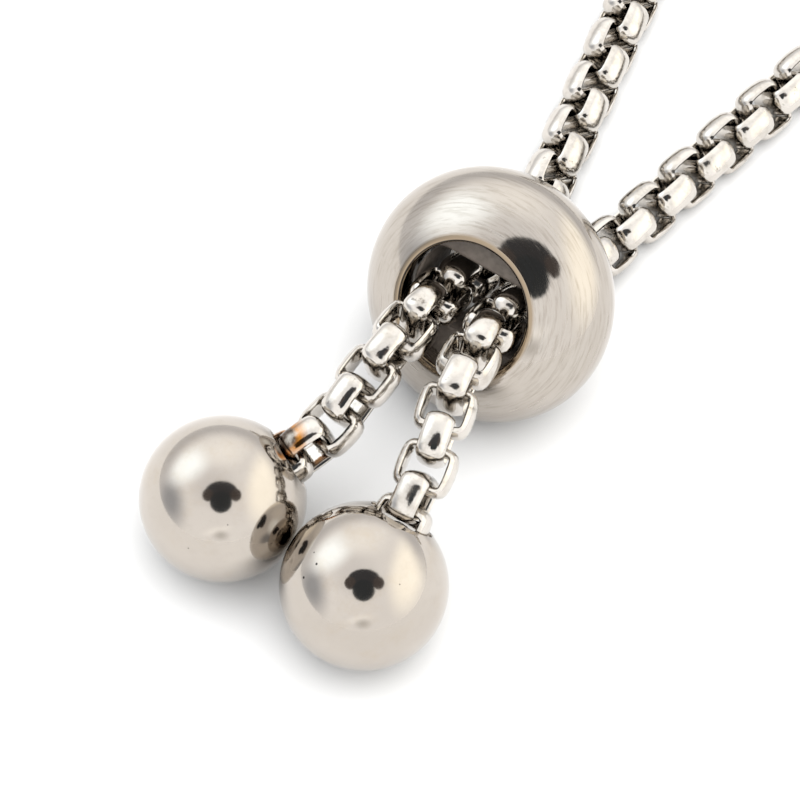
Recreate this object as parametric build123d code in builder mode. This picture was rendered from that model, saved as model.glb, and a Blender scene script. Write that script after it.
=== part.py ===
"""Bolo slider bracelet in stainless steel, lying on a flat surface.

One round box chain runs from stop ball to stop ball: through the slider, round the wrist loop and back
through the slider. The slider is a hollow bead that holds a silicone grip round the two strands.

Millimetres, +Z up. +Y is the loop's middle line, pointing from the slider to the far end of the loop.
The origin is the middle of the footprint, on the surface that the bracelet lies on.
"""

import os
from math import asin, cos, degrees, radians, sin, sqrt

from build123d import *

# Chain: links of a band, domed outside and with a low ridge inside, bent round a rounded rectangle and
# turned a quarter from link to link
LINK_LENGTH = 1.93
LINK_HEIGHT = 2.2
LINK_CORNER = 0.70
BAND_WIDTH = 1.08
BAND_DOME = 0.24
BAND_RIDGE = 0.09
LINK_PITCH = 1.09

# Slider bead: a flattened ball cut flat at its two mouths, hollow for the grip
SLIDER_DIAMETER = 9.5
SLIDER_THICKNESS = 4.9
BORE_RADIUS = 2.47
LIP_WIDTH = 0.24
LIP_ROUNDING = 0.10
CAVITY_RADIUS = 3.55
CAVITY_LENGTH = 2.7
SLIDER_LEAN = 40.0

# Grip: a silicone ring in the cavity, with one long slot for both strands
GRIP_GAP = 0.05
SLOT_WIDTH = 4.78
SLOT_HEIGHT = 2.62
SLOT_CORNER = 0.60

# Strands inside the slider: side by side
STRAND_HALF_SPACING = 1.16

# Stop balls, placed from the slider's centre line, and the end link welded into each
BALL_RADIUS = 3.0
BALL_LEFT_X, BALL_LEFT_Y = -3.69, -11.79
BALL_RIGHT_X, BALL_RIGHT_Y = 2.43, -11.90
BALL_HOLE_RADIUS = 1.22
BALL_HOLE_FLOOR = 1.70
END_LINK_REACH = 2.50

# Corners of the two tails: beside the ball, from the ball's centre, and in front of the slider's centre
LEFT_TAIL_CORNER = (1.97, 3.58, 1.13)
LEFT_FRONT_CORNER = 3.5
RIGHT_TAIL_CORNER = (0.09, 3.49, 2.12)
RIGHT_FRONT_CORNER = 4.1
TAIL_BEND = 6.0
FRONT_BEND = 6.2

# The wrist loop: the strands bend down to the surface, part, bow outwards and close in a round
REAR_BEND = 8.0
DIVERGENCE = 11.3
TABLE_RUN = 14.0
BOW_RADIUS = 70.0
BOW_ANGLE = 27.0

# Roll of the chain about its own line, in degrees, and where it grows along each strand
TABLE_ROLL = 45.0
REAR_ROLL_START, REAR_ROLL_LENGTH = 0.8, 7.4
LEFT_TAIL_ROLL = 12.0
TAIL_ROLL_START, TAIL_ROLL_LENGTH = 2.6, 6.0

# The slider's own directions: its mouth faces the balls and leans up by SLIDER_LEAN
LEAN = radians(SLIDER_LEAN)
SIDE = Vector(1, 0, 0)
MOUTH = Vector(0, -cos(LEAN), sin(LEAN))

# The bead's half length if it were not cut, and its centre's height when its rim touches the surface
LIP_RADIUS = BORE_RADIUS + LIP_WIDTH
BEAD_HALF_LENGTH = SLIDER_THICKNESS / 2 / sqrt(1 - (2 * LIP_RADIUS / SLIDER_DIAMETER) ** 2)
SLIDER_HEIGHT = sqrt((SLIDER_DIAMETER / 2 * cos(LEAN)) ** 2 + (BEAD_HALF_LENGTH * sin(LEAN)) ** 2)
SLIDER_CENTRE = Vector(0, 0, SLIDER_HEIGHT)

# The dome's radius, and the height of the chain's line when it lies rolled on the surface
DOME_RADIUS = ((BAND_WIDTH / 2) ** 2 + BAND_DOME**2) / (2 * BAND_DOME)
CHAIN_HEIGHT = (LINK_HEIGHT / 2 - DOME_RADIUS) * sin(radians(TABLE_ROLL)) + DOME_RADIUS


def make_link():
    """One link, its length along X and its height along Y, centred on the origin."""
    end = LINK_LENGTH / 2 - BAND_DOME
    side = LINK_HEIGHT / 2 - BAND_DOME
    half = BAND_WIDTH / 2
    with BuildPart() as link:
        with BuildLine() as path:
            FilletPolyline((0, -side), (end, -side), (end, side), (0, side), radius=LINK_CORNER - BAND_DOME)
        with BuildSketch(Plane(origin=(0, -side, 0), x_dir=(0, -1, 0), z_dir=(1, 0, 0))):
            with BuildLine():
                ThreePointArc((0, -half), (BAND_DOME, 0), (0, half))
                Polyline((0, half), (-BAND_RIDGE, 0), (0, -half))
            make_face()
        sweep(path=path.wire())
        mirror(about=Plane.YZ)
    return link.part


def make_route(side, ball_centre, tail_corner, front_corner):
    """The line of one strand, from the ball's centre to the far end of the loop; side is 1 or -1."""
    middle = SLIDER_CENTRE + SIDE * (side * STRAND_HALF_SPACING)
    rear_corner = middle - MOUTH * ((middle.Z - CHAIN_HEIGHT) / MOUTH.Z)
    away = Vector(side * sin(radians(DIVERGENCE)), cos(radians(DIVERGENCE)), 0)
    with BuildLine() as route:
        lead = FilletPolyline(
            ball_centre,
            ball_centre + Vector(*tail_corner),
            middle + MOUTH * front_corner,
            rear_corner,
            rear_corner + away * TABLE_RUN,
            radius=[TAIL_BEND, FRONT_BEND, REAR_BEND],
        )
        bow = JernArc(lead @ 1, lead % 1, BOW_RADIUS, -side * BOW_ANGLE)
        outward = DIVERGENCE + BOW_ANGLE
        loop_radius = abs((bow @ 1).X) / cos(radians(outward))
        JernArc(bow @ 1, bow % 1, loop_radius, side * (90 + outward))
    return route.wire()


def blend(value, start, length):
    """0 up to start, 1 from start + length on, and straight between."""
    return min(max((value - start) / length, 0.0), 1.0)


def link_plane(side, route, distance, crosswise):
    """Where a link stands on a strand: X along the chain, Y along the link's height."""
    here = route.position_at(distance, position_mode=PositionMode.LENGTH)
    heading = route.tangent_at(distance, position_mode=PositionMode.LENGTH).normalized()
    up = (Vector(0, 0, 1) - heading * heading.Z).normalized()
    outward = heading.cross(up) * side

    ahead = (here - SLIDER_CENTRE).dot(MOUTH)
    roll = TABLE_ROLL * blend(-ahead, REAR_ROLL_START, REAR_ROLL_LENGTH)
    if side < 0:
        roll += LEFT_TAIL_ROLL * blend(ahead, TAIL_ROLL_START, TAIL_ROLL_LENGTH)
    top = up * cos(radians(roll)) + outward * sin(radians(roll))
    return Plane(origin=here, x_dir=heading, z_dir=top if crosswise else heading.cross(top))


def make_ball(ball_centre, route, side, end_link):
    """A stop ball with a blind hole along its strand and the chain's last link welded into it."""
    heading = (route % 0).normalized()
    hole_length = BALL_RADIUS - BALL_HOLE_FLOOR
    with BuildPart() as ball:
        with Locations(ball_centre):
            Sphere(BALL_RADIUS)
        with BuildSketch(Plane(origin=ball_centre + heading * BALL_HOLE_FLOOR, z_dir=heading)):
            Circle(BALL_HOLE_RADIUS)
        extrude(amount=hole_length, mode=Mode.SUBTRACT)
        with Locations(link_plane(side, route, END_LINK_REACH, crosswise=True)):
            add(end_link)
    return ball.part


# The two strands' lines, and one link that is repeated along them
link = make_link()
ball_right_centre = Vector(BALL_RIGHT_X, BALL_RIGHT_Y, BALL_RADIUS)
ball_left_centre = Vector(BALL_LEFT_X, BALL_LEFT_Y, BALL_RADIUS)
route_right = make_route(1, ball_right_centre, RIGHT_TAIL_CORNER, RIGHT_FRONT_CORNER)
route_left = make_route(-1, ball_left_centre, LEFT_TAIL_CORNER, LEFT_FRONT_CORNER)

# The slider's section: X is the radius, Y runs along the bead towards its front mouth
with BuildPart() as slider_shell:
    with BuildSketch(Plane(origin=SLIDER_CENTRE, x_dir=SIDE, z_dir=SIDE.cross(MOUTH))):
        half = SLIDER_THICKNESS / 2
        cavity = CAVITY_LENGTH / 2
        rim = degrees(asin(half / BEAD_HALF_LENGTH))
        with BuildLine():
            EllipticalCenterArc(
                (0, 0), SLIDER_DIAMETER / 2, BEAD_HALF_LENGTH, start_angle=-rim, arc_size=2 * rim
            )
            Polyline(
                (LIP_RADIUS, half),
                (BORE_RADIUS, half),
                (BORE_RADIUS, cavity),
                (CAVITY_RADIUS, cavity),
                (CAVITY_RADIUS, -cavity),
                (BORE_RADIUS, -cavity),
                (BORE_RADIUS, -half),
                (LIP_RADIUS, -half),
            )
        make_face()
    revolve(axis=Axis(SLIDER_CENTRE, MOUTH))
    mouths = slider_shell.faces().filter_by(Axis(SLIDER_CENTRE, MOUTH)).sort_by(Axis(SLIDER_CENTRE, MOUTH))
    fillet(mouths[0].edges() + mouths[-1].edges(), LIP_ROUNDING)

# The grip fills the cavity, and its slot holds both strands
with BuildPart() as slider_grip:
    length = CAVITY_LENGTH - 2 * GRIP_GAP
    with BuildSketch(Plane(origin=SLIDER_CENTRE - MOUTH * (length / 2), x_dir=SIDE, z_dir=MOUTH)):
        Circle(CAVITY_RADIUS - GRIP_GAP)
        RectangleRounded(SLOT_WIDTH, SLOT_HEIGHT, SLOT_CORNER, mode=Mode.SUBTRACT)
    extrude(amount=length)

# The links between the two end links, at one even pitch, the first and last next to a crosswise end link
chain_length = route_right.length + route_left.length - 2 * END_LINK_REACH
link_steps = 2 * round(chain_length / LINK_PITCH / 2)
pitch = chain_length / link_steps
places = {1: [], -1: []}
for step in range(1, link_steps):
    distance = END_LINK_REACH + step * pitch
    crosswise = step % 2 == 0
    if distance <= route_right.length:
        places[1].append(link_plane(1, route_right, distance, crosswise))
    else:
        distance = route_right.length + route_left.length - distance
        places[-1].append(link_plane(-1, route_left, distance, crosswise))

with BuildPart() as chain_right:
    with Locations(*places[1]):
        add(link)

with BuildPart() as chain_left:
    with Locations(*places[-1]):
        add(link)

pieces = {
    "slider_shell": slider_shell.part,
    "slider_grip": slider_grip.part,
    "chain_right": chain_right.part,
    "chain_left": chain_left.part,
    "end_ball_right": make_ball(ball_right_centre, route_right, 1, link),
    "end_ball_left": make_ball(ball_left_centre, route_left, -1, link),
}

# The footprint's middle goes to the origin
boxes = [piece.bounding_box() for piece in pieces.values()]
middle_x = (min(box.min.X for box in boxes) + max(box.max.X for box in boxes)) / 2
middle_y = (min(box.min.Y for box in boxes) + max(box.max.Y for box in boxes)) / 2
bottom = min(box.min.Z for box in boxes)
to_origin = Location((-middle_x, -middle_y, -bottom))

os.makedirs("parts", exist_ok=True)
for name, piece in pieces.items():
    placed = piece.moved(to_origin)
    placed.label = name
    export_step(placed, f"parts/{name}.step")

print(f"links {link_steps - 1} + 2 welded, pitch {pitch:.3f} mm, chain {chain_length:.1f} mm")
print(f"moved by {-middle_x:.3f}, {-middle_y:.3f}, {-bottom:.3f}")
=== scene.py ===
"""Bolo slider bracelet, dressed for a studio picture.

A turned steel slider with a silicone grip, two strands of round box chain and two polished stop balls.
Metres, +Z up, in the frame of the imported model.
"""
import math
import random

import bmesh
import bpy
import numpy as np
from mathutils import Matrix, Vector


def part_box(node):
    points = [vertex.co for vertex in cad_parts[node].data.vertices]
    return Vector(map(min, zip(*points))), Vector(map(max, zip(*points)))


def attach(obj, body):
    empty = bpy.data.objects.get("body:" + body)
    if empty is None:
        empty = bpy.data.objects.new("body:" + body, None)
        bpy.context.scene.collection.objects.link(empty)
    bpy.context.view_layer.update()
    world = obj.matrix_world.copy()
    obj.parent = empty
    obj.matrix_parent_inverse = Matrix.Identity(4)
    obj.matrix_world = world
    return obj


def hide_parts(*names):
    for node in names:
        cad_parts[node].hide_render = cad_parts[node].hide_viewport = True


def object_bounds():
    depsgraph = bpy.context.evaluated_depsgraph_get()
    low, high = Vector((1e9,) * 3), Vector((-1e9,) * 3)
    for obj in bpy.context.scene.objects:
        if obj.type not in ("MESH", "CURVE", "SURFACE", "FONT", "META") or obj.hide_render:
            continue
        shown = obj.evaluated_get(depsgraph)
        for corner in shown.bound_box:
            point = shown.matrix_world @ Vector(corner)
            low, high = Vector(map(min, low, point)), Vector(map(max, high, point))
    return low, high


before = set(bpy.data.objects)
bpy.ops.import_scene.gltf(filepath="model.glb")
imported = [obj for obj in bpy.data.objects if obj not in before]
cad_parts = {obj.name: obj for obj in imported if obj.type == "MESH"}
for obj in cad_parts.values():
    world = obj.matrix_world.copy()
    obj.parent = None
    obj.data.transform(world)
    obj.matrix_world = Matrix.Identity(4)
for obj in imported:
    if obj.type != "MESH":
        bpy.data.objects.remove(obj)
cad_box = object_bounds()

MM = 0.001
UP = Vector((0, 0, 1))

# How far apart two points may be and still count as one place, and the same for cutting and for welding
SAME_PLACE = 0.01 * MM
CUT_REACH = 0.0001 * MM
WELD_REACH = 0.005 * MM

# The slider's own directions: its mouth faces the balls and leans up
LEAN = math.radians(40.0)
SIDE = Vector((1, 0, 0))
MOUTH = Vector((0, -math.cos(LEAN), math.sin(LEAN)))
CROWN = Vector((0, math.sin(LEAN), math.cos(LEAN)))

# Slider bead: an oval section cut off at both mouths, the lips, the bore and the cavity inside
SLIDER_RADIUS = 4.75 * MM
SLIDER_HALF = 2.45 * MM
LIP_RADIUS = 2.71 * MM
BORE_RADIUS = 2.47 * MM
CAVITY_RADIUS = 3.55 * MM
CAVITY_HALF = 1.35 * MM
LIP_ROUNDING = 0.09 * MM
SLIDER_OUTLINE_POINTS = 144
SLIDER_TURN_STEPS = 128

# Silicone grip. Its rim has as many points as its slot's outline
GRIP_RADIUS = 3.50 * MM
GRIP_HALF = 1.30 * MM
GRIP_RIM = 0.30 * MM
GRIP_ROUNDING = 0.10 * MM
SLOT_SIZE = (4.78 * MM, 2.62 * MM)
SLOT_CORNER = 0.60 * MM
SLOT_CORNER_SEGMENTS = 9
GRIP_POINTS = 4 * (SLOT_CORNER_SEGMENTS + 1)

# Chain link: half its length and height, its corners and the half width of its band
LINK_HALF_LENGTH = 0.99 * MM
LINK_HALF_HEIGHT = 1.125 * MM
LINK_CORNER = 0.52 * MM
BAND_HALF_WIDTH = 0.585 * MM
BAND_CROWN = 0.33 * MM
BAND_HOLLOW = 0.09 * MM
BAND_POINTS = 8
LINK_CORNER_STEPS = 2

# How far a loose link may turn between its neighbours, in degrees
LINK_ROLL = 3.0
LINK_TIP = 2.0
chance = random.Random(7)

# Stop balls, from the slider's centre, and the direction in which the chain leaves each
BALL_RADIUS = 3.0 * MM
BALL_HOLE_RADIUS = 1.22 * MM
BALL_HOLE_DEPTH = 0.14 * MM
BALL_HOLE_ROUNDING = 0.08 * MM
BALL_SEGMENTS = 128
BALL_RINGS = 64
END_LINK_REACH = 2.50 * MM
BALLS = {
    "left": {"x": -3.69 * MM, "y": -11.79 * MM, "exit": (1.97, 3.58, 1.13), "roll": 12.0, "side": -1},
    "right": {"x": 2.43 * MM, "y": -11.90 * MM, "exit": (0.09, 3.49, 2.12), "roll": 0.0, "side": 1},
}

# Dark specks in the polish: the ball, across and up from its middle in the picture as shares of its radius,
# and the speck's size
SPECKS = (
    ("right", -0.54, 0.29, 0.045 * MM),
    ("right", -0.69, 0.13, 0.045 * MM),
    ("right", -0.57, 0.42, 0.025 * MM),
    ("right", 0.42, 0.06, 0.022 * MM),
    ("left", -0.37, -0.56, 0.025 * MM),
    ("left", 0.10, -0.28, 0.020 * MM),
)

low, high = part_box("slider_shell")
SLIDER_CENTRE = (Vector(low) + Vector(high)) / 2
GROUND = cad_box[0].z

# The camera: where it stands, from the point that it looks at
AZIMUTH = math.radians(33.5)
ELEVATION = math.radians(60.5)
CAMERA_DISTANCE = 140 * MM
SENSOR_WIDTH = 36
FOCAL_LENGTH = 172.9
NEAREST_SEEN = 5 * MM
FARTHEST_SEEN = 10
TOWARDS_CAMERA = Vector((
    math.sin(AZIMUTH) * math.cos(ELEVATION),
    -math.cos(AZIMUTH) * math.cos(ELEVATION),
    math.sin(ELEVATION),
))
PICTURE_RIGHT = Vector((math.cos(AZIMUTH), math.sin(AZIMUTH), 0))
PICTURE_UP = TOWARDS_CAMERA.cross(PICTURE_RIGHT)
AWAY = Vector((-TOWARDS_CAMERA.x, -TOWARDS_CAMERA.y, 0)).normalized()
AIM = SLIDER_CENTRE + Vector((-0.963, -4.479, -2.11)) * MM


# Modelling by hand


def deselect():
    """Nothing is selected, and no piece is in edit mode."""
    if bpy.context.object and bpy.context.object.mode != "OBJECT":
        bpy.ops.object.mode_set(mode="OBJECT")
    bpy.ops.object.select_all(action="DESELECT")


def start_editing():
    """Opens the active piece's mesh, with all of it picked."""
    bpy.ops.object.mode_set(mode="EDIT")
    bpy.ops.mesh.select_mode(type="VERT")
    pick_all()


def stop_editing():
    bpy.ops.object.mode_set(mode="OBJECT")


# From here to face_outwards, each function works on the mesh that is being edited


def pick_all():
    bpy.ops.mesh.select_all(action="SELECT")


def pick(test):
    """Picks only the points that pass the test, with the edges and faces between them."""
    bpy.ops.mesh.select_mode(type="VERT")
    bpy.ops.mesh.select_all(action="DESELECT")
    mesh = bmesh.from_edit_mesh(bpy.context.object.data)
    for vert in mesh.verts:
        vert.select_set(test(vert.co))
    mesh.select_flush_mode()
    bmesh.update_edit_mesh(bpy.context.object.data)


def pick_rims(test):
    """Picks only the edges that run round the Z axis and whose two ends pass the test."""
    bpy.ops.mesh.select_mode(type="EDGE")
    mesh = bmesh.from_edit_mesh(bpy.context.object.data)
    for face in mesh.faces:
        face.select_set(False)
    for edge in mesh.edges:
        first, second = [vert.co for vert in edge.verts]
        level = near(first.z, second.z) and near(radius_of(first), radius_of(second))
        edge.select_set(level and test(first))
    bmesh.update_edit_mesh(bpy.context.object.data)


def stretch(x, y, z):
    """Scales what is picked, about the origin."""
    bpy.ops.transform.resize(value=(x, y, z), center_override=(0, 0, 0))


def draw_out(x, y, z):
    """Extrudes what is picked."""
    bpy.ops.mesh.extrude_region_move(TRANSFORM_OT_translate={"value": (x, y, z)})


def cut_off(place, direction):
    """Removes everything beyond a plane."""
    pick_all()
    bpy.ops.mesh.bisect(plane_co=place, plane_no=direction, clear_outer=True, threshold=CUT_REACH)


def weld():
    """Makes one point of those that lie in the same place."""
    pick_all()
    bpy.ops.mesh.remove_doubles(threshold=WELD_REACH)


def round_off(width):
    """Rounds the picked edges."""
    bpy.ops.mesh.bevel(offset=width, segments=3, profile=0.5)


def face_outwards():
    """Turns every face of a closed piece to the outside."""
    bpy.ops.mesh.select_mode(type="VERT")
    pick_all()
    bpy.ops.mesh.normals_make_consistent(inside=False)
    if bmesh.from_edit_mesh(bpy.context.object.data).calc_volume(signed=True) < 0:
        bpy.ops.mesh.flip_normals()


def near(value, target, reach=SAME_PLACE):
    return abs(value - target) < reach


def radius_of(point):
    return math.hypot(point.x, point.y)


def add_ring(points, turn):
    """A new piece: a ring of that many points, with a radius of 1."""
    deselect()
    bpy.ops.mesh.primitive_circle_add(vertices=points, radius=1, rotation=turn)
    bpy.ops.object.transform_apply(location=False, rotation=True, scale=False)
    return bpy.context.object


def stance(centre, x, y, z):
    """The place of a piece whose own axes are to point along x, y and z."""
    return Matrix.Translation(centre) @ Matrix((x, y, z)).transposed().to_4x4()


def put(obj, matrix):
    """Moves the piece's mesh, so that its object stays at the origin."""
    obj.data.transform(matrix)
    obj.data.update()


def smooth(obj, degrees=35):
    """Shades the piece smooth, apart from edges that turn by more than that."""
    deselect()
    obj.select_set(True)
    bpy.context.view_layer.objects.active = obj
    bpy.ops.object.shade_smooth_by_angle(angle=math.radians(degrees))


def finish_piece(obj, name, material, replaced=()):
    """Names a finished piece, gives it its material and ties it to the frame."""
    obj.name = name
    obj.data.name = name
    obj.data.materials.clear()
    obj.data.materials.append(material)
    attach(obj, "root")
    if replaced:
        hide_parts(*replaced)


# Materials


class Nodes:
    """A tree of nodes under way. What a method is given may come out of another node, or be fixed: a number,
    a Vector, or a tuple for a colour."""

    def __init__(self, owner):
        owner.use_nodes = True
        self.tree = owner.node_tree
        self.tree.nodes.clear()

    def node(self, kind, **settings):
        made = self.tree.nodes.new(kind)
        for key, value in settings.items():
            setattr(made, key, value)
        return made

    def feed(self, value, socket):
        if isinstance(value, bpy.types.NodeSocket):
            self.tree.links.new(value, socket)
        elif isinstance(value, tuple):
            socket.default_value = (*value, 1)
        else:
            socket.default_value = value

    def math(self, operation, *values):
        made = self.node("ShaderNodeMath", operation=operation)
        for value, socket in zip(values, made.inputs):
            self.feed(value, socket)
        return made.outputs["Value"]

    def times(self, first, second):
        return self.math("MULTIPLY", first, second)

    def plus(self, first, second):
        return self.math("ADD", first, second)

    def minus(self, first, second):
        return self.math("SUBTRACT", first, second)

    def hypot(self, first, second):
        return self.math("SQRT", self.plus(self.times(first, first), self.times(second, second)))

    def vector(self, operation, *values, output="Vector"):
        made = self.node("ShaderNodeVectorMath", operation=operation)
        for value, socket in zip(values, made.inputs):
            self.feed(value, socket)
        return made.outputs[output]

    def along(self, vector, direction):
        """How far a vector reaches in one direction."""
        return self.vector("DOT_PRODUCT", vector, direction, output="Value")

    def distance(self, vector, place):
        """How far a point is from a fixed place."""
        return self.vector("DISTANCE", vector, place, output="Value")

    def spread(self, value, low, high, to_low=0.0, to_high=1.0, curve="LINEAR"):
        """value between low and high becomes to_low to to_high, held at both ends."""
        mapped = self.node("ShaderNodeMapRange", clamp=True, interpolation_type=curve)
        for key, number in (("From Min", low), ("From Max", high), ("To Min", to_low), ("To Max", to_high)):
            mapped.inputs[key].default_value = number
        self.feed(value, mapped.inputs["Value"])
        return mapped.outputs["Result"]

    def blend(self, factor, first, second):
        """A colour between two others."""
        mix = self.node("ShaderNodeMix", data_type="RGBA")
        self.feed(factor, mix.inputs["Factor"])
        colors = [socket for socket in mix.inputs if socket.type == "RGBA"]
        for value, socket in zip((first, second), colors):
            self.feed(value, socket)
        return [socket for socket in mix.outputs if socket.type == "RGBA"][0]


class Finish(Nodes):
    """A material under way."""

    def __init__(self, name, color, roughness, metallic=1.0):
        self.material = bpy.data.materials.new(name)
        super().__init__(self.material)
        output = self.node("ShaderNodeOutputMaterial")
        self.shader = self.node("ShaderNodeBsdfPrincipled")
        self.feed(self.shader.outputs["BSDF"], output.inputs["Surface"])
        self.set("Base Color", color)
        self.set("Metallic", metallic)
        self.set("Roughness", roughness)

    def set(self, socket, value):
        self.feed(value, self.shader.inputs[socket])

    def place(self, centre=(0, 0, 0), turn=(0, 0, 0)):
        """The piece's own coordinates, from a centre and turned about it."""
        coordinates = self.node("ShaderNodeTexCoord")
        mapping = self.node("ShaderNodeMapping", vector_type="TEXTURE")
        mapping.inputs["Location"].default_value = centre
        mapping.inputs["Rotation"].default_value = turn
        self.feed(coordinates.outputs["Object"], mapping.inputs["Vector"])
        return mapping.outputs["Vector"]

    def noise(self, vector, scale, detail=2.0, rough=0.5):
        noise = self.node("ShaderNodeTexNoise")
        self.feed(scale, noise.inputs["Scale"])
        self.feed(detail, noise.inputs["Detail"])
        self.feed(rough, noise.inputs["Roughness"])
        self.feed(vector, noise.inputs["Vector"])
        return noise.outputs["Fac"]

    def bump(self, height, depth, strength, under=None):
        """The surface's direction once height has raised it by up to depth."""
        bump = self.node("ShaderNodeBump")
        self.feed(depth, bump.inputs["Distance"])
        self.feed(strength, bump.inputs["Strength"])
        self.feed(height, bump.inputs["Height"])
        if under is not None:
            self.feed(under, bump.inputs["Normal"])
        return bump.outputs["Normal"]


STEEL = (0.467, 0.427, 0.383)
STEEL_DULL = (0.417, 0.379, 0.338)
STEEL_TAN = (0.40, 0.335, 0.255)
# Dark specks in the polish, and also the painted shade line on the slider's lips
SPECK_AND_SHADE_DARK = (0.04, 0.036, 0.034)
TURNED_STEEL = (0.438, 0.402, 0.362)
STEEL_STREAK = (0.283, 0.248, 0.208)
LIP_TAN = (0.30, 0.235, 0.165)
# Brighter than the balls' steel: partly the links' own polish, partly painted light that lightens the
# crevices between links
LINK_STEEL = (0.583, 0.550, 0.508)
LINK_STEEL_DULL = (0.433, 0.396, 0.350)
LINK_RUBBED = (0.16, 0.14, 0.12)
HEAT_AMBER = (0.44, 0.18, 0.03)
HEAT_BROWN = (0.06, 0.038, 0.025)
SILICONE = (0.085, 0.070, 0.058)
SILICONE_DARK = tuple(0.7 * part for part in SILICONE)

# On the slider, from its axis and along it: where the tan of a lip ends, where the face of a mouth begins,
# and a thin line of painted shade where the lip rounds into the bore
LIP_TAN_EDGE = (2.68 * MM, 2.80 * MM)
MOUTH_FACE_EDGE = (2.20 * MM, 2.35 * MM)
LIP_SHADE_LINE_RADIUS = 2.535 * MM
LIP_SHADE_LINE_EDGE = (0.012 * MM, 0.035 * MM)

# How far round the slider a mark is drawn out
FINE_RUN = 0.0004
STREAK_RUN = 0.0006
SCRATCH_RUN = 0.0003

# The heated spot, from the ball's centre: along the chain, out of its broad side and up in the picture.
# From there: where brown turns to amber, where amber turns to steel, and how far both wander
HEAT_ALONG = 2.72 * MM
HEAT_UP = 0.95 * MM
HEAT_SIDE = 0.30 * MM
HEAT_BROWN_REACH = (0.48 * MM, 0.68 * MM)
HEAT_AMBER_REACH = (0.72 * MM, 1.08 * MM)
HEAT_WANDER = 0.14 * MM


def polished_steel(name, specks):
    """Mirror-bright steel of the balls: faint tumbling marks, a fine orange peel and a few dark specks."""
    finish = Finish(name, STEEL, 0.07)
    everywhere = finish.place()
    clouds = finish.noise(everywhere, scale=350, detail=3)
    mottle = finish.noise(everywhere, scale=2600, detail=4, rough=0.65)
    stains = finish.noise(everywhere, scale=750, detail=5, rough=0.7)
    waves = finish.noise(everywhere, scale=900)
    finish.set("Roughness", finish.spread(clouds, 0.35, 0.75, 0.05, 0.12))
    color = finish.blend(finish.spread(clouds, 0.3, 0.8), STEEL, STEEL_DULL)
    color = finish.blend(finish.spread(mottle, 0.50, 0.80, 0.0, 0.8), color, STEEL_DULL)
    color = finish.blend(finish.spread(stains, 0.50, 0.72, 0.0, 0.35), color, STEEL_TAN)
    for place, size in specks:
        mask = finish.spread(finish.distance(everywhere, place), 0.7 * size, 1.3 * size, 1.0, 0.0)
        color = finish.blend(mask, color, SPECK_AND_SHADE_DARK)
    finish.set("Base Color", color)
    peel = finish.bump(mottle, 0.0016 * MM, 0.7)
    finish.set("Normal", finish.bump(waves, 0.004 * MM, 0.6, peel))
    return finish.material


def turned_steel(name):
    """Steel turned on a lathe: streaks and fine scratches run round the bead's axis, and the lips are tan."""
    finish = Finish(name, TURNED_STEEL, 0.10)
    own = finish.place(centre=SLIDER_CENTRE, turn=(math.pi / 2 - LEAN, 0, 0))
    split = finish.node("ShaderNodeSeparateXYZ")
    finish.feed(own, split.inputs["Vector"])
    x, y, z = split.outputs
    out = finish.hypot(x, y)
    angle = finish.math("ARCTAN2", y, x)

    def rings(run):
        """Coordinates in which a mark that is wide across the axis runs on for that length round it."""
        combined = finish.node("ShaderNodeCombineXYZ")
        finish.feed(out, combined.inputs["X"])
        finish.feed(z, combined.inputs["Y"])
        finish.feed(finish.times(angle, run), combined.inputs["Z"])
        return combined.outputs["Vector"]

    fine = finish.noise(rings(FINE_RUN), scale=9000, detail=4, rough=0.65)
    streaks = finish.noise(rings(STREAK_RUN), scale=2300, detail=4, rough=0.6)
    scratches = finish.spread(finish.noise(rings(SCRATCH_RUN), scale=6500, detail=1), 0.70, 0.73)
    color = finish.blend(finish.spread(streaks, 0.40, 0.66), TURNED_STEEL, STEEL_DULL)
    color = finish.blend(finish.spread(fine, 0.48, 0.72, 0.0, 0.70), color, STEEL_STREAK)

    at_mouth = finish.spread(finish.math("ABSOLUTE", z), *MOUTH_FACE_EDGE)
    lip = finish.times(finish.spread(out, *LIP_TAN_EDGE, 1.0, 0.0), at_mouth)
    color = finish.blend(lip, color, LIP_TAN)
    # Painted shade: a thin dark ring on the rounded edge where the lip turns into the bore
    from_shade_line = finish.math("ABSOLUTE", finish.minus(out, LIP_SHADE_LINE_RADIUS))
    line = finish.times(finish.spread(from_shade_line, *LIP_SHADE_LINE_EDGE, 1.0, 0.0), at_mouth)
    finish.set("Base Color", finish.blend(line, color, SPECK_AND_SHADE_DARK))

    worn = finish.spread(fine, 0.40, 0.75, 0.065, 0.15)
    finish.set("Roughness", finish.plus(worn, finish.times(scratches, 0.3)))
    marks = finish.bump(fine, 0.0014 * MM, 0.8)
    finish.set("Normal", finish.bump(streaks, 0.0035 * MM, 0.5, marks))
    return finish.material


def scuffed(finish, everywhere, color):
    """Small dents and scuffs of links that rub against each other."""
    scuffs = finish.noise(everywhere, scale=2200, detail=5, rough=0.62)
    dents = finish.noise(everywhere, scale=900)
    wear = finish.noise(everywhere, scale=1500, detail=6, rough=0.75)
    finish.set("Roughness", finish.spread(scuffs, 0.42, 0.70, 0.06, 0.24))
    color = finish.blend(finish.spread(scuffs, 0.45, 0.8), color, LINK_STEEL_DULL)
    color = finish.blend(finish.spread(wear, 0.62, 0.70, 0.0, 0.75), color, LINK_RUBBED)
    finish.set("Base Color", color)
    soft = finish.bump(dents, 0.03 * MM, 0.45)
    finish.set("Normal", finish.bump(scuffs, 0.016 * MM, 0.6, soft))
    return finish.material


def chain_steel(name):
    """Steel of the links: their own bright polish, made brighter than the balls' steel as painted light that
    lightens the crevices between links.
    """
    finish = Finish(name, LINK_STEEL, 0.10)
    return scuffed(finish, finish.place(), LINK_STEEL)


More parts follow.
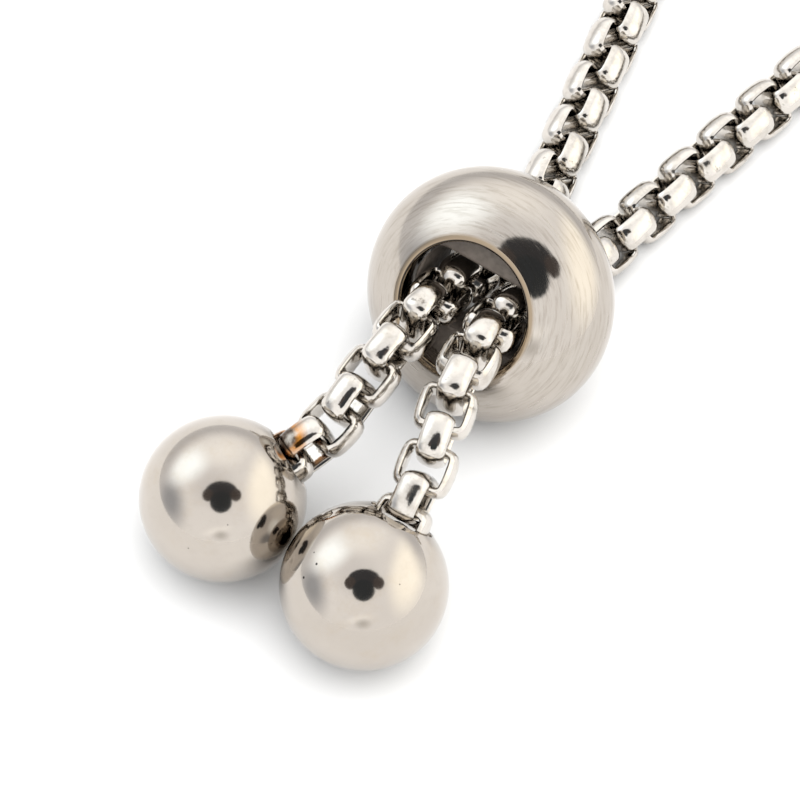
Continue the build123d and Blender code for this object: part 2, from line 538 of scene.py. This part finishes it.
def heated_steel(name, spot):
    """The same steel where the welding heat has coloured it: brown at the ball, then amber, then bright."""
    finish = Finish(name, LINK_STEEL, 0.10)
    everywhere = finish.place()
    wander = finish.spread(finish.noise(everywhere, scale=1300), 0.3, 0.7, -HEAT_WANDER, HEAT_WANDER)
    reach = finish.plus(finish.distance(everywhere, spot), wander)
    amber = finish.blend(finish.spread(reach, *HEAT_AMBER_REACH), HEAT_AMBER, LINK_STEEL)
    color = finish.blend(finish.spread(reach, *HEAT_BROWN_REACH), HEAT_BROWN, amber)
    return scuffed(finish, everywhere, color)


def silicone(name):
    """Soft dark brown rubber with a dull skin."""
    finish = Finish(name, SILICONE, 0.55, metallic=0.0)
    grain = finish.noise(finish.place(), scale=4000, detail=3)
    finish.set("Base Color", finish.blend(finish.spread(grain, 0.3, 0.7), SILICONE, SILICONE_DARK))
    finish.set("Roughness", finish.spread(grain, 0.3, 0.7, 0.45, 0.65))
    finish.set("Normal", finish.bump(grain, 0.01 * MM, 0.5))
    return finish.material


# The slider

# From the bead's own frame, its axis along Z and its mouth at the top, to its place
BEAD_PLACE = stance(SLIDER_CENTRE, SIDE, CROWN, MOUTH)


def make_slider_shell():
    """A flattened ball cut flat at its mouths, with lips that turn into the bore and a wide cavity."""
    shell = add_ring(SLIDER_OUTLINE_POINTS, (math.pi / 2, 0, 0))
    start_editing()
    uncut_half = SLIDER_HALF / math.sqrt(1 - (LIP_RADIUS / SLIDER_RADIUS) ** 2)
    stretch(SLIDER_RADIUS, 1, uncut_half)
    cut_off((0, 0, SLIDER_HALF), (0, 0, 1))
    cut_off((0, 0, -SLIDER_HALF), (0, 0, -1))
    cut_off((0, 0, 0), (-1, 0, 0))
    # Over the lip, down the bore and round the cavity to the other lip
    pick(lambda point: near(point.z, SLIDER_HALF, reach=SAME_PLACE / 10))
    lip_width = LIP_RADIUS - BORE_RADIUS
    bore_depth = SLIDER_HALF - CAVITY_HALF
    cavity_depth = CAVITY_RADIUS - BORE_RADIUS
    steps = (
        (-lip_width, 0),
        (0, -bore_depth),
        (cavity_depth, 0),
        (0, -2 * CAVITY_HALF),
        (-cavity_depth, 0),
        (0, -bore_depth),
        (lip_width, 0),
    )
    for across, along in steps:
        draw_out(across, 0, along)
    pick_all()
    bpy.ops.mesh.spin(steps=SLIDER_TURN_STEPS, angle=2 * math.pi, center=(0, 0, 0), axis=(0, 0, 1))
    weld()

    def on_lip_edge(point):
        radius = radius_of(point)
        return near(abs(point.z), SLIDER_HALF) and (near(radius, LIP_RADIUS) or near(radius, BORE_RADIUS))

    pick_rims(on_lip_edge)
    round_off(LIP_ROUNDING)
    face_outwards()
    stop_editing()
    put(shell, BEAD_PLACE)
    smooth(shell)
    return shell


def make_grip():
    """A round of silicone with one long slot for both strands, its edges rounded."""
    deselect()
    bpy.ops.mesh.primitive_plane_add(size=1)
    grip = bpy.context.object
    grip.scale = (*SLOT_SIZE, 1)
    bpy.ops.object.transform_apply(location=False, rotation=False, scale=True)
    start_editing()
    # The slot's outline, the round one about it, and the face between them
    bpy.ops.mesh.bevel(offset=SLOT_CORNER, segments=SLOT_CORNER_SEGMENTS, affect="VERTICES")
    pick_all()
    bpy.ops.mesh.delete(type="ONLY_FACE")
    bpy.ops.mesh.select_all(action="DESELECT")
    bpy.ops.mesh.primitive_circle_add(vertices=GRIP_POINTS, radius=GRIP_RADIUS, fill_type="NOTHING")
    pick_all()
    bpy.ops.mesh.select_mode(type="EDGE")
    bpy.ops.mesh.bridge_edge_loops()
    pick_all()
    bpy.ops.transform.translate(value=(0, 0, -GRIP_HALF))
    draw_out(0, 0, 2 * GRIP_HALF)
    for end in (1, -1):
        pick(lambda point: near(point.z, end * GRIP_HALF) and radius_of(point) < GRIP_RADIUS - GRIP_RIM)
        round_off(GRIP_ROUNDING)
    face_outwards()
    stop_editing()
    put(grip, BEAD_PLACE)
    smooth(grip)
    return grip


# Links


def make_link():
    """One link at the origin: length along X, height along Y, the width of its band along Z."""
    flat_x = LINK_HALF_LENGTH - LINK_CORNER
    flat_y = LINK_HALF_HEIGHT - LINK_CORNER
    link = add_ring(BAND_POINTS, (0, math.pi / 2, 0))
    start_editing()
    # The band's section: a high crown outside, nearly flat inside
    stretch(1, BAND_CROWN, BAND_HALF_WIDTH)
    pick(lambda point: point.y > SAME_PLACE)
    stretch(1, BAND_HOLLOW / BAND_CROWN, 1)
    pick_all()
    bpy.ops.transform.translate(value=(-flat_x, BAND_CROWN - LINK_HALF_HEIGHT, 0))
    # Once round the rounded rectangle
    runs = ((2 * flat_x, 0), (0, 2 * flat_y), (-2 * flat_x, 0), (0, -2 * flat_y))
    corners = ((flat_x, -flat_y), (flat_x, flat_y), (-flat_x, flat_y), (-flat_x, -flat_y))
    for run, corner in zip(runs, corners):
        draw_out(*run, 0)
        bpy.ops.mesh.spin(steps=LINK_CORNER_STEPS, angle=-math.pi / 2, center=(*corner, 0), axis=(0, 0, 1))
    weld()
    face_outwards()
    stop_editing()
    rounding = link.modifiers.new("rounding", "SUBSURF")
    rounding.levels = rounding.render_levels = 1
    bpy.ops.object.modifier_apply(modifier="rounding")
    smooth(link, degrees=60)
    return link


def frame_of_solid(points, triangles):
    """Where a loose link of the frame stands: its length along X, height along Y and band width along Z."""
    middle = points.mean(axis=0)
    corners = (points - middle)[triangles]
    # A pyramid stands on each triangle, its tip in the middle: its volume, centre and second moment
    a, b, c = corners[:, 0], corners[:, 1], corners[:, 2]
    volume = np.einsum("ij,ij->i", a, np.cross(b, c)) / 6
    total = volume.sum()
    centre = (volume[:, None] * (a + b + c)).sum(axis=0) / 4 / total
    spread = sum(np.einsum("i,ij,ik->jk", volume, p, p) for p in (a, b, c, a + b + c)) / 20 / total
    spread -= np.outer(centre, centre)
    axes = np.linalg.eigh(spread)[1]
    # A link is narrowest across its band, and highest of all
    length, height = axes[:, 1], axes[:, 2]
    place = np.eye(4)
    place[:3, 0], place[:3, 1], place[:3, 2] = length, height, np.cross(length, height)
    place[:3, 3] = centre + middle
    return Matrix(place.tolist())


def places_of_links(node):
    """The places of a strand's loose links, one matrix each, read from the frame's own solids."""
    mesh = bmesh.new()
    mesh.from_mesh(node.data)
    bmesh.ops.remove_doubles(mesh, verts=mesh.verts, dist=WELD_REACH / 10)
    mesh.verts.index_update()
    points = np.array([vert.co[:] for vert in mesh.verts])
    triangles = np.array([[vert.index for vert in face.verts] for face in mesh.faces])
    mesh.free()
    # Every point takes the lowest label of its triangles, until each solid has one label
    label = np.arange(len(points))
    while True:
        lowest = label[triangles].min(axis=1)
        smaller = label.copy()
        for corner in range(3):
            np.minimum.at(smaller, triangles[:, corner], lowest)
        if (smaller == label).all():
            break
        label = smaller
    places = []
    for solid in np.unique(label):
        own = np.flatnonzero(label == solid)
        renumber = np.full(len(points), -1)
        renumber[own] = np.arange(len(own))
        faces = triangles[label[triangles[:, 0]] == solid]
        places.append(frame_of_solid(points[own], renumber[faces]))
    return places


def slack():
    """The little turn that a loose link takes between its neighbours."""
    roll = Matrix.Rotation(math.radians(chance.uniform(-LINK_ROLL, LINK_ROLL)), 4, "X")
    tip = Matrix.Rotation(math.radians(chance.uniform(-LINK_TIP, LINK_TIP)), 4, "Z")
    return roll @ tip


def copy_of(link, place):
    """A copy of the link with its own mesh, put in its place."""
    copy = link.copy()
    copy.data = link.data.copy()
    bpy.context.scene.collection.objects.link(copy)
    put(copy, place)
    return copy


def join(objects):
    deselect()
    for obj in objects:
        obj.select_set(True)
    bpy.context.view_layer.objects.active = objects[0]
    bpy.ops.object.join()
    return bpy.context.object


# Stop balls


def centre_of(which):
    facts = BALLS[which]
    return Vector((SLIDER_CENTRE.x + facts["x"], SLIDER_CENTRE.y + facts["y"], GROUND + BALL_RADIUS))


def on_ball(which, across, up):
    """A place on a ball as the picture shows it, from its middle, as shares of its radius."""
    out = math.sqrt(1 - across**2 - up**2)
    return centre_of(which) + (PICTURE_RIGHT * across + PICTURE_UP * up + TOWARDS_CAMERA * out) * BALL_RADIUS


def exit_of(which):
    """How the chain leaves a ball: its heading, and the way that its broad links face."""
    facts = BALLS[which]
    heading = Vector(facts["exit"]).normalized()
    up = (UP - heading * heading.z).normalized()
    roll = math.radians(facts["roll"])
    top = up * math.cos(roll) + heading.cross(up) * facts["side"] * math.sin(roll)
    return heading, top


def heated_spot(which):
    heading, top = exit_of(which)
    return centre_of(which) + heading * HEAT_ALONG + top * HEAT_UP + PICTURE_UP * HEAT_SIDE


def make_ball(which, link):
    """A polished ball with a blind hole on its strand's line, and the chain's last link welded into it."""
    centre = centre_of(which)
    heading, top = exit_of(which)

    deselect()
    bpy.ops.mesh.primitive_uv_sphere_add(segments=BALL_SEGMENTS, ring_count=BALL_RINGS, radius=BALL_RADIUS)
    ball = bpy.context.object
    brim = math.sqrt(BALL_RADIUS**2 - BALL_HOLE_RADIUS**2)

    def on_brim(point):
        return near(point.z, brim) and near(radius_of(point), BALL_HOLE_RADIUS, reach=2 * SAME_PLACE)

    start_editing()
    cut_off((0, 0, brim), (0, 0, 1))
    pick(on_brim)
    draw_out(0, 0, -BALL_HOLE_DEPTH)
    bpy.ops.mesh.edge_face_add()
    pick_rims(on_brim)
    round_off(BALL_HOLE_ROUNDING)
    face_outwards()
    stop_editing()
    put(ball, stance(centre, top.cross(heading), top, heading))
    smooth(ball)

    end_link = copy_of(link, stance(centre + heading * END_LINK_REACH, heading, top.cross(heading), top))
    return ball, end_link


# Studio

PAPER = (0.30, 0.2985, 0.297)
# The paper far behind the bracelet, darker as painted shade
PAPER_FAR_SHADED = (0.208, 0.208, 0.208)
PAPER_SIZE = 6
PAPER_DROP = 0.01 * MM
# How far behind the bracelet the paper's painted shade begins, and where it is darkest
PAPER_SHADE_FADE = (20 * MM, 110 * MM)

# The lamp over the table: nearly overhead, a little to the camera's side and to the right
LAMP_WAY = UP - AWAY * 0.10 + PICTURE_RIGHT * 0.15
LAMP_DISTANCE = 0.5
LAMP_ANGLE = math.radians(85)
LAMP_ENERGY = 11.7

TENT_WHITE = (1.596, 1.596, 1.596)
BACKDROP = (0.96, 0.96, 0.96)
# The tent's lower edge: its colour, how high it reaches, and from where it runs on behind the table
SKIRT = (1.008, 1.008, 1.02)
SKIRT_HEIGHT = (0.10, 0.50)
SKIRT_BEHIND = (-0.7, 0.1)

# Patches of the tent, as Tent.patch takes them: across, up, half width, half height, softness, tilt in
# degrees, colour. The first ones lie under the skirt
UNDER_PATCHES = (
    (-0.12, 0.17, 0.22, 0.20, 0.80, 0, (1.344, 1.344, 1.356)),
    (-0.60, 0.0, 0.13, 0.27, 0.80, 12, (0.66, 0.684, 0.732)),
    (-0.385, 0.395, 0.23, 0.135, 0.80, 38, (2.34, 2.52, 2.64)),
    (0.02, 0.56, 0.22, 0.14, 0.80, 0, (1.86, 1.86, 1.836)),
    (0.51, 0.16, 0.18, 0.40, 0.55, -8, (2.256, 2.196, 2.016)),
)
# A light strip with a dark one below it, then the lens: its cap, two ears and the round front
OVER_PATCHES = (
    (-0.05, -0.365, 0.13, 0.035, 0.90, 12, (1.86, 1.86, 1.836)),
    (-0.01, -0.42, 0.07, 0.045, 0.90, 0, (1.08, 1.068, 1.032)),
    (0.005, 0.105, 0.185, 0.115, 0.06, 0, (0.078, 0.078, 0.084)),
    (-0.155, 0.055, 0.065, 0.075, 0.08, 0, (0.12, 0.102, 0.096)),
    (0.175, 0.055, 0.065, 0.075, 0.08, 0, (0.12, 0.102, 0.096)),
    (0.0, -0.03, 0.13, 0.125, 0.06, 0, (0.06, 0.066, 0.072)),
)


def set_up(name, data, way, distance):
    """A camera or a lamp that looks at AIM."""
    made = bpy.data.objects.new(name, data)
    bpy.context.scene.collection.objects.link(made)
    made.location = AIM + way * distance
    made.rotation_mode = "QUATERNION"
    made.rotation_quaternion = (-way).to_track_quat("-Z", "Y")
    return made


def make_camera():
    lens = bpy.data.cameras.new("camera")
    lens.sensor_width = SENSOR_WIDTH
    lens.lens = FOCAL_LENGTH
    lens.clip_start = NEAREST_SEEN
    lens.clip_end = FARTHEST_SEEN
    bpy.context.scene.camera = set_up("camera", lens, TOWARDS_CAMERA, CAMERA_DISTANCE)


def make_floor():
    """A pale table, its paper darkened behind the bracelet with painted shade."""
    deselect()
    bpy.ops.mesh.primitive_plane_add(size=PAPER_SIZE, location=(0, 0, GROUND - PAPER_DROP))
    floor = bpy.context.object
    floor.name = "floor"
    paper = Finish("white paper", PAPER, 0.9, metallic=0.0)
    paper.set("Specular IOR Level", 0.1)
    # Painted shade: the paper darkens behind the bracelet, where the light falls off
    far = paper.spread(paper.along(paper.place(), AWAY), *PAPER_SHADE_FADE)
    paper.set("Base Color", paper.blend(far, PAPER, PAPER_FAR_SHADED))
    floor.data.materials.append(paper.material)


class Tent(Nodes):
    """The white tent round the table. A patch of it is named by where a polished ball would show it in the
    picture: across and up from the ball's middle, as shares of the ball's radius."""

    def __init__(self):
        world = bpy.data.worlds.new("tent")
        bpy.context.scene.world = world
        super().__init__(world)
        direction = self.node("ShaderNodeTexCoord").outputs["Generated"]
        halfway = self.vector("NORMALIZE", self.vector("ADD", direction, TOWARDS_CAMERA))
        self.height = self.along(direction, UP)
        self.away = self.along(direction, AWAY)
        self.across = self.along(halfway, PICTURE_RIGHT)
        self.up = self.along(halfway, PICTURE_UP)

    def fade(self, value, start, end):
        """1 up to start, 0 from end on, and soft between them."""
        return self.spread(value, start, end, 1.0, 0.0, curve="SMOOTHSTEP")

    def patch(self, under, across, up, half_width, half_height, soft, tilt, color):
        """The tent's colour with one oval patch laid over it."""
        c = math.cos(math.radians(tilt))
        s = math.sin(math.radians(tilt))
        dx = self.minus(self.across, across)
        dy = self.minus(self.up, up)
        u = self.plus(self.times(dx, c / half_width), self.times(dy, s / half_width))
        v = self.minus(self.times(dy, c / half_height), self.times(dx, s / half_height))
        return self.blend(self.fade(self.hypot(u, v), 1 - soft, 1 + soft), under, color)

    def skirt(self, under, color):
        """The tent's lower edge, darker behind the table."""
        low = self.fade(self.height, *SKIRT_HEIGHT)
        behind = self.fade(self.minus(0.0, self.away), *SKIRT_BEHIND)
        return self.blend(self.times(low, behind), under, color)

    def hang(self, color, backdrop):
        """Lights the scene with color, while the camera itself sees a plain backdrop."""
        light = self.node("ShaderNodeBackground")
        self.feed(color, light.inputs["Color"])
        plain = self.node("ShaderNodeBackground")
        self.feed(backdrop, plain.inputs["Color"])
        seen = self.node("ShaderNodeLightPath").outputs["Is Camera Ray"]
        mix = self.node("ShaderNodeMixShader")
        for source, socket in zip((seen, light.outputs[0], plain.outputs[0]), mix.inputs):
            self.feed(source, socket)
        output = self.node("ShaderNodeOutputWorld")
        self.feed(mix.outputs[0], output.inputs["Surface"])


def make_tent():
    tent = Tent()
    color = TENT_WHITE
    for patch in UNDER_PATCHES:
        color = tent.patch(color, *patch)
    color = tent.skirt(color, SKIRT)
    for patch in OVER_PATCHES:
        color = tent.patch(color, *patch)
    tent.hang(color, BACKDROP)


def make_table_light():
    """Wide soft light from above on the table alone: metal shows only the tent."""
    lamp = bpy.data.lights.new("table light", "SUN")
    lamp.angle = LAMP_ANGLE
    lamp.energy = LAMP_ENERGY
    light = set_up("table light", lamp, LAMP_WAY, LAMP_DISTANCE)
    light.visible_glossy = False
    light.visible_camera = False


# Making the picture

make_camera()
make_floor()
make_tent()
make_table_light()
bpy.context.scene.view_settings.view_transform = "Standard"

ball_steel = polished_steel("polished steel", [(on_ball(which, x, y), size) for which, x, y, size in SPECKS])
slider_steel = turned_steel("turned steel")
link_steel = chain_steel("link steel with painted fill")
strand_steel = {"left": heated_steel("heat tinted steel", heated_spot("left")), "right": link_steel}
dark_silicone = silicone("dark silicone")

finish_piece(make_slider_shell(), "slider_shell_turned", slider_steel, ["slider_shell"])
finish_piece(make_grip(), "slider_grip_soft", dark_silicone, ["slider_grip"])

one_link = make_link()
for which in BALLS:
    ball, end_link = make_ball(which, one_link)
    finish_piece(ball, f"stop_ball_{which}", ball_steel, [f"end_ball_{which}"])
    finish_piece(end_link, f"end_link_{which}", strand_steel[which])
    places = places_of_links(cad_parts[f"chain_{which}"])
    strand = join([copy_of(one_link, place @ slack()) for place in places])
    finish_piece(strand, f"strand_{which}", strand_steel[which], [f"chain_{which}"])
bpy.data.objects.remove(one_link)
